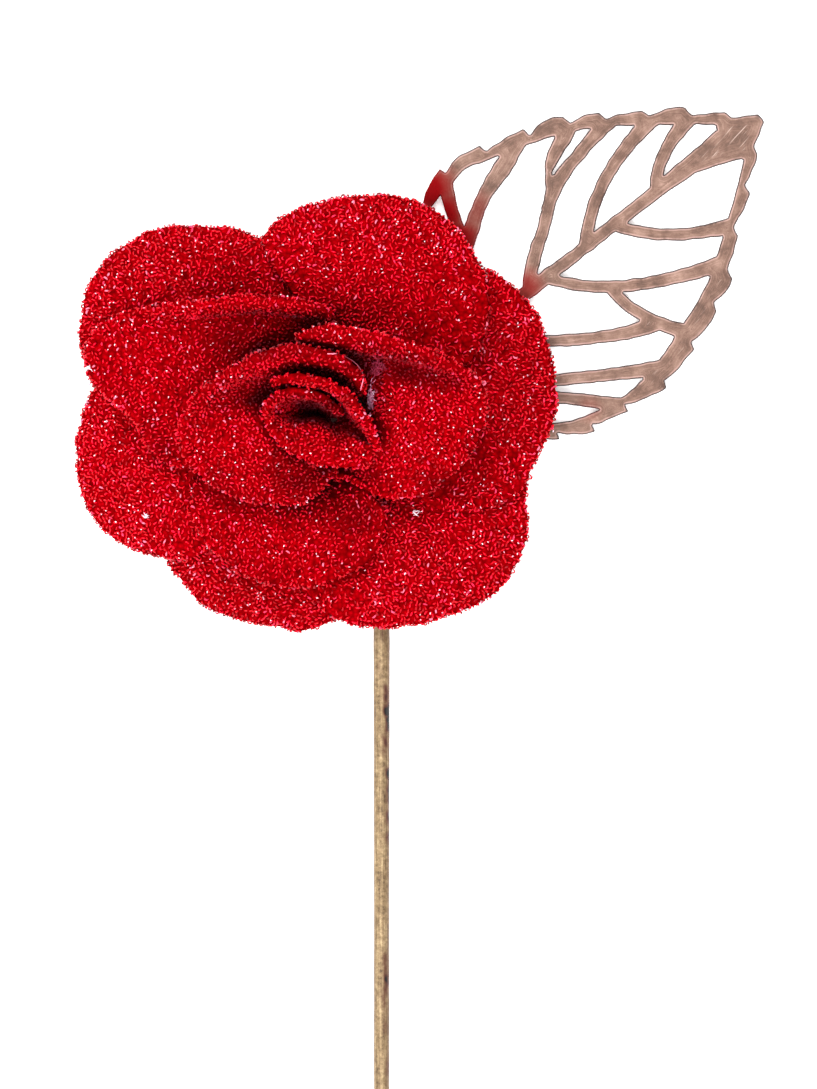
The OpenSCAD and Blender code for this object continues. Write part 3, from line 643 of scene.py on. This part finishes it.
def add_lint(tree):
    """Wisps of lint and dried glue that cling to the cloth."""
    rng = np.random.default_rng(404)
    xy, tone = [], []
    for x, y, w, h, many, low, high in LINT:
        xy.append(np.array([x, y]) + rng.normal(0, 0.55, (many, 2)) * [w, h])
        tone.append(rng.uniform(low, high, many))
    q, n = on_cloth(tree, np.vstack(xy), 0.3)
    tone, count = np.hstack(tone), len(q)
    points, faces = strands(q, n, rng.uniform(0.3, 0.8, count), rng.uniform(0.03, 0.07, count),
                            rng.uniform(0.05, 0.2, count), rng.normal(0, 0.12, count),
                            pi / 2 + rng.normal(0, 0.7, count), np.full(count, 0.02))
    finish_piece(add_mesh("lint", to_row(points), faces, LINT_FIBRE), np.repeat(tone[:count], STRAND_POINTS))


# the leaf
LEAF_BASE, LEAF_TURN = (2.9, 22.7), radians(37.6)
LEAF_LOW, LEAF_TOP = PAD_Z - 0.6, PAD_Z - 0.1
FINE, LEAF_STEP = 0.05, 0.2  # spacings along the outlines, as they are worked on and as they are built
LEAF_ROUND, LEAF_DOME = 0.15, 0.05
# how the openings are shrunk and moved, below and above the midrib
SHRINK, MOVE = (0.09, 0.13), ([0, 0.3], [0.1, -0.08])
# red on the metal, at the flower's edge: [x, y, radius, strength], in mm
RED_PATCHES = [[2.6, 37.8, 2.8, 1], [4.2, 40.6, 2.8, 1], [5.4, 38.2, 2.8, 1], [6.8, 36, 2.6, 1],
          [8.2, 38.6, 2.2, 0.5], [12.9, 31.6, 2, 0.8], [15, 30.4, 1.4, 0.35], [18.8, 25.2, 1.2, 0.25],
          [18.9, 20.6, 1.2, 0.25]]


def outlines(obj):
    """Outlines of a CAD plate's flat top, in mm: closed rows of points, with the metal on their left."""
    mesh = obj.data
    co = np.array([v.co[:] for v in mesh.vertices])
    mesh.calc_loop_triangles()
    tri = np.array([t.vertices[:] for t in mesh.loop_triangles])
    key, same = np.unique(np.round(co / MM, 4), axis=0, return_inverse=True)
    tri = same.reshape(-1)[tri]
    following = border_edges(tri[key[tri, 2].min(1) > key[:, 2].max() - 0.01])
    loops = []
    while following:
        start, b = following.popitem()
        loop = [start]
        while b != start:
            loop.append(b)
            b = following.pop(b)
        loops.append(key[loop, :2])
    return sorted(loops, key=lambda p: -np.ptp(p[:, 0]))


def border_edges(tri):
    """Edges that only one triangle has, from point to point."""
    found = set()
    for t in tri.tolist():
        for a, b in zip(t, t[1:] + t[:1]):
            if (b, a) in found:
                found.discard((b, a))
            else:
                found.add((a, b))
    return dict(found)


def even_loop(p, step):
    q = np.vstack([p, p[:1]])
    d = run(q)
    t = np.linspace(0, d[-1], max(int(d[-1] / step), 8), endpoint=False)
    return np.stack([np.interp(t, d, q[:, k]) for k in range(2)], -1)


def worn(p, sigma, step):
    """The loop with its corners rounded off over about sigma mm."""
    reach = int(4 * sigma / step) + 1
    k = np.exp(-0.5 * (np.arange(-reach, reach + 1) * step / sigma)**2)
    k /= k.sum()
    return sum(w * np.roll(p, i, axis=0) for i, w in zip(range(-reach, reach + 1), k))


def loop_normals(p):
    t = unit(np.roll(p, -1, 0) - np.roll(p, 1, 0))
    return np.stack([-t[:, 1], t[:, 0]], -1)


def inside(p, loops):
    """Even-odd test of points against closed loops."""
    odd = np.zeros(len(p), bool)
    for loop in loops:
        for (x0, y0), (x1, y1) in zip(loop, np.roll(loop, -1, 0)):
            if y0 != y1:
                crossing = (x1 - x0) * (p[:, 1] - y0) / (y1 - y0) + x0
                odd ^= ((y0 > p[:, 1]) != (y1 > p[:, 1])) & (p[:, 0] < crossing)
    return odd


def edge_distance(p, loops):
    tree = search_tree(raised(np.vstack([even_loop(q, FINE) for q in loops])))
    return np.array([tree.find(q)[2] for q in raised(p).tolist()])


# where the shown leaf's outlines leave the frame's: [x, y, right, up, radius], in mm
RIM_PULLS = [[30.8, 31.9, 0.75, -0.15, 5], [28.3, 27.5, 0.55, -0.45, 4], [26.2, 23.7, 0.45, -0.55, 3.5],
             [21.7, 19.8, -0.1, 0.4, 2.5], [26.4, 47.7, 0, 0.35, 3.5], [14.9, 46.6, -0.15, 0.35, 2.5],
             [6.5, 43.1, -0.25, 0.35, 2.5]]
SHORT_PULLS = [[17.1, 44.1, -1.6, -2, 1.7], [7.8, 42.3, -0.1, 0.4, 2], [24, 23, 1, 0.3, 1.3]]
LONG_PULLS = [[15.1, 43.3, -0.65, 0, 3.2], [13.3, 34.4, -0.25, 0, 3.5], [11.4, 42, 0.3, -0.1, 3],
              [8.9, 36.5, 0.25, -0.1, 3]]


def pulled(p, pulls):
    for x, y, right, up, radius in pulls:
        p = p + ramp(1 - np.hypot(p[:, 0] - x, p[:, 1] - y) / radius)[:, None] * [right, up]
    return p


def tooth_ends(p, reach=2, turn=38):
    """Corners where a closed outline turns left by more than turn degrees within reach points."""
    a, b = p - np.roll(p, reach, 0), np.roll(p, -reach, 0) - p
    angle = np.degrees(np.arctan2(a[:, 0] * b[:, 1] - a[:, 1] * b[:, 0], (a * b).sum(1)))
    return p[(angle > turn) & (angle >= np.roll(angle, 1)) & (angle > np.roll(angle, -1))]


def shown_outlines():
    """The leaf's outlines with the frame's corners worn, and moved to where the photograph shows them."""
    loops = []
    for k, loop in enumerate(outlines(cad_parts["leaf"])):
        fine = worn(even_loop(loop, FINE), FINE, FINE)
        if k:
            above = int((fine.mean(0) - LEAF_BASE) @ [-sin(LEAF_TURN), cos(LEAF_TURN)] >= 0)
            grown = fine - SHRINK[above] * loop_normals(fine)
            fine = grown[edge_distance(grown, [fine]) > SHRINK[above] - 0.006]
            fine = pulled(fine + MOVE[above], LONG_PULLS if np.ptp(fine[:, 1]) > 8 else SHORT_PULLS)
        else:
            fine = pulled(fine, RIM_PULLS)
        fine = fine + loop_normals(fine) * (0.035 * waves(raised(fine, k), 1.3, 5 + k))[:, None]
        loops.append(even_loop(fine, LEAF_STEP))
    return loops


def add_leaf(mat):
    """The pierced leaf again, with rounded worn edges, softly domed veins, red near the flower and painted
    shade at the tooth tips.
    """
    loops = shown_outlines()
    rings = [np.vstack(loops)]
    for d in (0.045, 0.12):
        q = np.vstack([p + loop_normals(p) * d for p in loops])
        rings.append(q[(edge_distance(q, loops) > 0.8 * d) & inside(q, loops)])
    lo, hi = rings[0].min(0), rings[0].max(0)
    x, y = np.meshgrid(np.arange(lo[0], hi[0], 0.24), np.arange(lo[1], hi[1], 0.21))
    x[1::2] += 0.12
    grid = np.stack([x.ravel(), y.ravel()], -1)
    grid += np.random.default_rng(8).uniform(-0.03, 0.03, grid.shape)
    grid = grid[inside(grid, loops)]
    grid = grid[edge_distance(grid, loops) > 0.2]
    points = np.vstack(rings + [grid])
    edges, at = [], 0
    for p in loops:
        n = len(p)
        edges += [(at + i, at + (i + 1) % n) for i in range(n)]
        at += n
    flat = delaunay_2d_cdt([Vector(q) for q in points.tolist()], edges, [], 0, 1e-6)
    xy = np.array([v[:] for v in flat[0]])
    tri = np.array([f[:] for f in flat[2]])
    tri = tri[inside(xy[tri].mean(1), loops)]
    border = np.array([any(i < at for i in source) for source in flat[3]])
    d = np.where(border, 0, edge_distance(xy, loops))
    drop = LEAF_ROUND - np.sqrt(np.maximum(LEAF_ROUND**2 - (LEAF_ROUND - np.minimum(d, LEAF_ROUND))**2, 0))
    dome = LEAF_DOME * ramp(d / 0.55) - LEAF_DOME + 0.012 * waves(raised(xy), 1.6, 21) * ramp(d / 0.3)
    both = np.vstack([raised(xy, LEAF_TOP - drop + dome), raised(xy, LEAF_LOW + drop)])
    n = len(xy)
    wall = [[a, a + n, b + n, b] for a, b in border_edges(tri).items()]
    faces = tri.tolist() + (tri[:, ::-1] + n).tolist() + wall
    obj = add_mesh("leaf_metalwork", both * MM, faces, mat)
    obj.data.set_sharp_from_angle(angle=radians(50))
    tint = np.zeros(n)
    for sx, sy, r, amount in RED_PATCHES:
        away = np.hypot(xy[:, 0] - sx, xy[:, 1] - sy)
        tint = np.maximum(tint, amount * ramp(1.35 - away / r))
    # painted shade: a dark spot at each tooth tip, a little to its right
    ends = tooth_ends(loops[0])
    tip_shade_strength = np.random.default_rng(12).uniform(0.2, 1.0, len(ends))
    tooth_tip_shade = (tip_shade_strength * np.exp(-(norms(xy[:, None] - ends - [0.1, 0]) / 0.3)**2)).max(1)
    for name, value in (("edge", d), ("tint", tint), ("tooth_tip_shade", tooth_tip_shade)):
        set_attribute(obj, name, np.tile(value, 2))
    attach(obj, "root")
    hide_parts("leaf")


# the pin
WIRE_STEP, WIRE_SIDES, WIRE_ROUGH, PLATE_SIDES = 0.3, 40, 0.008, 128
NICK, NICK_SIZE, NICK_DEPTH = [0.5, -6.9, 0.45], [0.35, 0.3, 0.5], 0.09
# half of the solder's section: [x, z] about the hidden end
SOLDER = [[-1.0, 0.03], [-0.72, -0.06], [-0.52, -0.3], [-0.3, -0.5]]
# brown stains down the right half, and painted shade in the nick: [y, half length, side from -1 to 1,
# strength]
STAIN_AND_SHADE_SPOTS = [[-6.85, 0.34, 0.8, 5], [-7.7, 0.3, 0.95, 2.6], [-8.3, 0.35, 0.85, 2.4], [-6, 1.1, 0.5, 1.1],
         [-9.9, 0.9, 0.45, 1.4], [-12.6, 0.5, 0.9, 1.9], [-14.4, 1.4, 0.95, 1.2], [-16.6, 0.5, 0.9, 1.5],
         [-18.4, 0.4, 0.9, 1.5], [-3, 0.6, -0.3, 0.5], [-5, 0.5, 0.6, 0.8], [0.2, 0.7, 0.1, 0.5],
         [-29.8, 1, 0.5, 1.1], [-31.4, 0.7, 0.7, 1.4], [-32.8, 1.2, 0.4, 1], [-35.6, 0.6, 0.5, 0.7],
         [-39.5, 1, 0.8, 0.7], [-22.8, 0.4, -0.1, -0.6], [-24.6, 0.5, 0, -0.5], [-13.2, 0.25, 0.35, -1.1],
         [-7.9, 0.3, 0.3, -0.6]]


def lathe(rows):
    """Turned shape on the Y axis from rows [y, radius], slightly uneven as wire is, closed at both ends."""
    y = np.hstack([np.linspace(a[0], b[0], max(int(abs(b[0] - a[0]) / WIRE_STEP), 1), endpoint=False)
                   for a, b in zip(rows, rows[1:])] + [[rows[-1][0]]])
    r = np.interp(y, [q[0] for q in rows], [q[1] for q in rows])
    a = np.arange(WIRE_SIDES) * 2 * pi / WIRE_SIDES
    p = np.stack([r[:, None] * np.cos(a), np.repeat(y[:, None], WIRE_SIDES, 1), r[:, None] * np.sin(a)], -1)
    out = np.stack([np.cos(a), 0 * a, np.sin(a)], -1)
    p += out * (WIRE_ROUGH * waves(p * np.array([1, 0.35, 1]), 1.1, 31))[..., None]
    return p.reshape(-1, 3), closed_tube(len(y), WIRE_SIDES)


def disc(rows):
    """Turned shape about the flower's axis from rows [radius, z]; the first and last radius are 0."""
    sides = PLATE_SIDES
    a = np.arange(sides) * 2 * pi / sides
    p = [[*CENTRE, rows[0][1]]]
    for r, z in rows[1:-1]:
        p += np.stack([CENTRE[0] + r * np.cos(a), CENTRE[1] + r * np.sin(a), np.full(sides, z)], -1).tolist()
    p.append([*CENTRE, rows[-1][1]])
    last, at = len(p) - 1, 1 + (len(rows) - 3) * sides
    faces = [[0, 1 + (j + 1) % sides, 1 + j] for j in range(sides)] + bands(len(rows) - 2, sides, 1)
    return np.array(p), faces + [[last, at + j, at + (j + 1) % sides] for j in range(sides)]


def joined(parts):
    """Points and faces of several shapes as one."""
    faces, at = [], 0
    for p, f in parts:
        faces += [[at + v for v in q] for q in f]
        at += len(p)
    return np.vstack([p for p, _ in parts]), faces


def add_pin(mat):
    """Stick, hidden end, plate and the solder between them, as one piece of metal."""
    r, shank = STICK_D / 2, SHANK_D / 2
    tip = [[0, 0.03], [0.05, 0.1], [0.16, POINT_D / 2], [POINT_L * 0.5, 0.45], [POINT_L - 0.8, r - 0.04],
           [POINT_L + 0.4, r]]
    wire = [[y - STICK_L, radius] for y, radius in tip]
    wire += [[-16, r], [-8, r + 0.03], [-1, r + 0.04], [1.2, r], [1.28, r - 0.04], [1.36, shank + 0.03],
             [1.5, shank], [SHANK_L - 0.12, shank], [SHANK_L - 0.03, shank - 0.07], [SHANK_L, shank - 0.2]]
    parts = [lathe(wire)]
    p = parts[0][0]
    away = norms((p - NICK) / np.array(NICK_SIZE))
    p[:, [0, 2]] *= (1 - NICK_DEPTH * ramp(1.3 - away))[:, None]
    edge, big, low, high = 0.12, PAD_D / 2, PAD_Z, PAD_Z + PAD_T
    flat = [0, 3, 6, 8.5]
    turn = [(edge * sin(t), edge * cos(t)) for t in np.radians(np.linspace(0, 90, 5))]
    under = [[k, low] for k in flat] + [[big - edge + x, low + edge - y] for x, y in turn]
    over = [[big - edge + y, high - edge + x] for x, y in turn] + [[k, high] for k in flat[::-1]]
    parts.append(disc(under + over))
    # the solder's two fillets along the hidden end
    y0, y1 = CENTRE[1] - sqrt(big**2 - CENTRE[0]**2) + 0.3, SHANK_L + 0.25
    y = np.linspace(y0, y1, 48)
    end = np.sqrt(np.clip(1 - np.abs(2 * (y - y0) / (y1 - y0) - 1)**8, 0, 1))
    at = np.stack([0 * y, y, 0 * y], -1)
    rows = []
    for k, (x, z) in enumerate(SOLDER + [[-x, z] for x, z in SOLDER[::-1]]):
        swell = end * (1 + 0.14 * waves(at + k, 2.4, 41))
        rows.append(np.stack([x * swell, y, PAD_Z + z * end * (1 + 0.1 * waves(at + k, 1.5, 42))], -1))
    m = len(y)
    quads = [[i * m + j, (i + 1) * m + j, (i + 1) * m + j + 1, i * m + j + 1]
             for i in range(len(rows) - 1) for j in range(m - 1)]
    parts.append((np.array(rows).reshape(-1, 3), quads))
    points, faces = joined(parts)
    obj = add_mesh("pin_metalwork", points * MM, faces, mat)
    obj.data.set_sharp_from_angle(angle=radians(55))
    side, y = points[:, 0] / r, points[:, 1]
    # painted shade along both edges of the round wire; darker toward its right side
    stain_and_shade = 0.3 * ramp((side + 0.1) / 1.1) + 0.6 * ramp((np.abs(side) - 0.82) / 0.18)
    uneven = 1 + 0.4 * waves(points, 0.7, 51)
    for sy, half, sx, amount in STAIN_AND_SHADE_SPOTS:
        stain_and_shade += amount * np.exp(-((y - sy) / half)**2 - ((side - sx) / 0.36)**2) * uneven
    on_top = points[:, 2] > PAD_Z + PAD_T - 0.02
    # the plate's top under the flower is painted dark: painted shade, partly glue
    stain_and_shade[on_top & (np.hypot(points[:, 0] - CENTRE[0], y - CENTRE[1]) < 9)] = 1.6
    set_attribute(obj, "tint", np.clip(stain_and_shade, -1, 3))
    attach(obj, "root")
    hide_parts("pin")


# materials
def new_material(name):
    mat = bpy.data.materials.new(name)
    mat.use_nodes = True
    tree = mat.node_tree
    tree.nodes.clear()
    out = tree.nodes.new("ShaderNodeOutputMaterial")
    bsdf = tree.nodes.new("ShaderNodeBsdfPrincipled")
    tree.links.new(bsdf.outputs["BSDF"], out.inputs["Surface"])
    return mat, tree, bsdf


def put(tree, socket, value):
    """Gives an input its own value, or a link where the value is another node's output."""
    if isinstance(value, bpy.types.NodeSocket):
        tree.links.new(value, socket)
    else:
        socket.default_value = value


def fill(tree, n, **values):
    """Puts a node's inputs, named with _ for a space; any other name is a setting of the node."""
    for key, value in values.items():
        socket = n.inputs.get(key.replace("_", " "))
        if socket:
            put(tree, socket, value)
        else:
            setattr(n, key, value)
    return n


def node(tree, kind, **values):
    return fill(tree, tree.nodes.new("ShaderNode" + kind), **values)


def attribute(tree, name):
    return node(tree, "Attribute", attribute_name=name).outputs["Fac"]


def noise(tree, at, scale=1.0, **values):
    return node(tree, "TexNoise", Vector=at, Scale=scale, **values).outputs["Fac"]


def product(tree, a, b, clamp=False):
    n = node(tree, "Math", operation="MULTIPLY", use_clamp=clamp)
    put(tree, n.inputs[0], a)
    put(tree, n.inputs[1], b)
    return n.outputs[0]


def between(tree, value, low, high, to=(0, 1), smooth=False):
    """A value's place from low to high, as a place between the two numbers of to."""
    n = node(tree, "MapRange", Value=value, From_Min=low, From_Max=high, To_Min=to[0], To_Max=to[1])
    n.interpolation_type = "SMOOTHSTEP" if smooth else "LINEAR"
    return n.outputs["Result"]


def average(tree, share, a, b):
    n = node(tree, "Mix", data_type="FLOAT")
    for k, value in ((0, share), (2, a), (3, b)):
        put(tree, n.inputs[k], value)
    return n.outputs[0]


def blend(tree, share, a, colour):
    """Colour a, turned by a share into a colour given in sRGB."""
    n = node(tree, "Mix", data_type="RGBA")
    for k, value in ((0, share), (6, a), (7, (*srgb(colour), 1))):
        put(tree, n.inputs[k], value)
    return n.outputs[2]


def colour_ramp(tree, stops, fac):
    n = node(tree, "ValToRGB", Fac=fac)
    e = n.color_ramp.elements
    while len(e) < len(stops):
        e.new(0.5)
    for item, (place, colour) in zip(e, stops):
        item.position = place
        item.color = (*srgb(colour), 1)
    return n.outputs["Color"]


def bump(tree, bsdf, height, strength, distance):
    n = node(tree, "Bump", Strength=strength, Distance=distance, Height=height)
    put(tree, bsdf.inputs["Normal"], n.outputs["Normal"])


def srgb(c):
    """Linear colour from one given in sRGB, 0 to 255."""
    return [x / 255 / 12.92 if x <= 10 else ((x / 255 + 0.055) / 1.055)**2.4 for x in c]


def with_painted_shade(tree, colour):
    """Colour darkened by painted shade in the hollows between the petals and at the spots of the table."""
    return blend(tree, attribute(tree, "painted_shade"), colour, (60, 0, 2))


def loop_material():
    mat, tree, bsdf = new_material("glitter_yarn")
    # the pink stop is a painted highlight on the brightest loops; the near-white stops give the tinsel its
    # painted glint
    stops = [(0, (133, 0, 3)), (0.4, (203, 0, 15)), (0.7, (244, 3, 38)), (0.84, (255, 58, 100)),
             (0.9, (255, 176, 200)), (1, (255, 244, 250))]
    colour = with_painted_shade(tree, colour_ramp(tree, stops, attribute(tree, "tone")))
    fill(tree, bsdf, Base_Color=colour, Roughness=0.3, Specular_IOR_Level=0.5, Specular_Tint=(1, 0.3, 0.4, 1))
    return mat


def lint_material():
    """Dusty fibre, from dark and stained red to nearly white."""
    mat, tree, bsdf = new_material("lint_fibre")
    stops = [(0, (112, 4, 22)), (0.45, (176, 50, 84)), (0.8, (236, 160, 196)), (1, (255, 244, 250))]
    colour = colour_ramp(tree, stops, attribute(tree, "tone"))
    fill(tree, bsdf, Base_Color=colour, Roughness=0.7, Specular_IOR_Level=0.2)
    return mat


def cloth_material():
    mat, tree, bsdf = new_material("knit_ground")
    at = node(tree, "TexCoord").outputs["Object"]
    cells = node(tree, "TexVoronoi", Vector=at, Scale=2600.0, feature="F1")
    # the ground's dark reds are partly the knit's own dye and partly painted shade in the gaps between the
    # loops
    stops = [(0, (164, 0, 8)), (0.35, (133, 0, 5)), (0.75, (101, 0, 2)), (1, (77, 0, 2))]
    colour = with_painted_shade(tree, colour_ramp(tree, stops, cells.outputs["Distance"]))
    fill(tree, bsdf, Base_Color=colour, Roughness=0.9, Specular_IOR_Level=0.0)
    bump(tree, bsdf, noise(tree, at, 900.0, Detail=3.0), 0.8, 0.00012)
    return mat


def leaf_material():
    """Antique copper: grain that follows the veins, pale worn edges with a painted highlight, a painted
    shadow at the very edge and at the tooth tips, a few scratches and red near the flower.
    """
    mat, tree, bsdf = new_material("antique_copper")
    at = node(tree, "TexCoord").outputs["Object"]
    edge, tint = attribute(tree, "edge"), attribute(tree, "tint")
    apart = node(tree, "SeparateXYZ", Vector=at).outputs
    along = node(tree, "CombineXYZ", X=product(tree, apart["X"], 480), Y=product(tree, apart["Y"], 480),
                 Z=product(tree, edge, 22)).outputs["Vector"]
    grain = noise(tree, along, Detail=4.0, Roughness=0.65)
    blotch = noise(tree, at, 420.0, Detail=5.0, Roughness=0.72)
    both = average(tree, 0.6, grain, blotch)
    stops = [(0.34, (66, 44, 34)), (0.46, (98, 70, 57)), (0.54, (120, 90, 76)), (0.68, (160, 129, 115))]
    colour = colour_ramp(tree, stops, both)
    # the bevels get a pale band, partly rubbed wear and partly a painted highlight, and a painted shadow at
    # their very edge
    rubbed_and_highlight = product(tree, between(tree, edge, 0.27, 0.19, smooth=True), between(tree, blotch, 0.36, 0.52))
    colour = blend(tree, rubbed_and_highlight, colour, (158, 126, 116))
    colour = blend(tree, between(tree, edge, 0.15, 0.08, smooth=True), colour, (60, 44, 42))
    scratch_at = node(tree, "Mapping", vector_type="TEXTURE", Vector=at, Rotation=(0, 0, radians(-42)),
                      Scale=(0.00014, 0.003, 1)).outputs["Vector"]
    thin = between(tree, noise(tree, scratch_at, Detail=1.0), 0.6, 0.72)
    colour = blend(tree, product(tree, thin, between(tree, edge, 0.75, 1.1)), colour, (168, 144, 132))
    # painted shade at the tooth tips
    colour = blend(tree, attribute(tree, "tooth_tip_shade"), colour, (40, 28, 28))
    colour = blend(tree, tint, colour, (118, 0, 4))
    fill(tree, bsdf, Base_Color=colour, Metallic=0.25, Roughness=between(tree, grain, 0, 1, (0.5, 0.68)),
         Specular_IOR_Level=between(tree, tint, 0, 1, (0.5, 0.05)))
    bump(tree, bsdf, both, 0.5, 0.00006)
    return mat


def pin_material():
    """Worn brass wire: draw lines along it, mottling, brown stains, darker toward its right side, and painted
    shade along its edges, in its nick and on the plate under the flower.
    """
    mat, tree, bsdf = new_material("worn_brass")
    at = node(tree, "TexCoord").outputs["Object"]
    tint = attribute(tree, "tint")
    drawn_at = node(tree, "Mapping", Vector=at, Scale=(6200, 240, 6200)).outputs["Vector"]
    blotch = noise(tree, at, 2300.0, Detail=4.0, Roughness=0.75)
    both = average(tree, 0.6, noise(tree, drawn_at, Detail=3.0), blotch)
    stops = [(0.36, (74, 56, 38)), (0.46, (118, 96, 66)), (0.54, (142, 119, 86)), (0.66, (176, 155, 118))]
    colour = colour_ramp(tree, stops, both)
    # brown stains, with painted shade along the wire's edges, in its nick and on the plate under the flower
    colour = blend(tree, product(tree, tint, 0.75, clamp=True), colour, (84, 46, 34))
    colour = blend(tree, between(tree, tint, 1.2, 2.2), colour, (20, 12, 10))
    fill(tree, bsdf, Base_Color=colour, Metallic=0.35, Roughness=between(tree, blotch, 0, 1, (0.45, 0.62)))
    bump(tree, bsdf, both, 0.4, 0.00004)
    return mat


# build
def tree_of(names):
    """One search tree of the named petals."""
    points, faces = joined([(p, split(quads).tolist()) for p, quads, *_ in (shells[k] for k in names)])
    return BVHTree.FromPolygons(points.tolist(), faces)


add_camera()
add_stage()
add_leaf(leaf_material())
add_pin(pin_material())
YARN, GROUND, LINT_FIBRE = loop_material(), cloth_material(), lint_material()
NAMES = [f"outer_petal_{k}" for k in range(1, 7)] + list(BUD)
# loops on the front and on the back
DENSITY = {"outer": (6.8, 2.4), "mid": (6.4, 3.0), "bud": (6.4, 3.2)}
LEAST_SIDE = 0.0101  # of a sheet's flat size, in metres

shells, cloths, flats = {}, {}, {}
for seed, name in enumerate(NAMES):
    g = petal_grid(name, 11 * seed + 3)
    p, quads, layer = petal_shell(g)
    t = split(quads)
    shells[name] = (p, quads, layer, vertex_normals(p, t))
    obj = add_mesh(name + "_cloth", to_row(p), clean_faces(quads), GROUND)
    cloths[name] = obj
    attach(obj, "root")
    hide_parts(name)
    # half the shell's surface, the rim's length, and a quarter over the mean length for the round corners
    area = float(norms(crosses(p, t)).sum()) / 4 * MM**2
    wide = float(norms(np.diff(g[:, -1], axis=0)).sum()) * MM
    flats[name] = (wide, max(area / wide * 1.25, LEAST_SIDE), area)

whole = tree_of(NAMES)
for seed, name in enumerate(NAMES):
    p, _, layer, n = shells[name]
    # painted shade on the front of the cloth: darker in its hollows between the petals and at the table's
    # spots
    painted_shade, front = np.zeros(len(p)), layer > 0
    painted_shade[front] = painted_shade_at(hollow(whole, p[front], n[front]), p[front])
    set_attribute(cloths[name], "painted_shade", painted_shade)
    others = tree_of([other for other in NAMES if other != name])
    loops = add_loops(name, shells[name], others, whole, DENSITY[name.split("_")[0]], 100 + seed)
    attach(loops, "root")
    wide, long, area = flats[name]

add_thread(whole)
add_lint(whole)
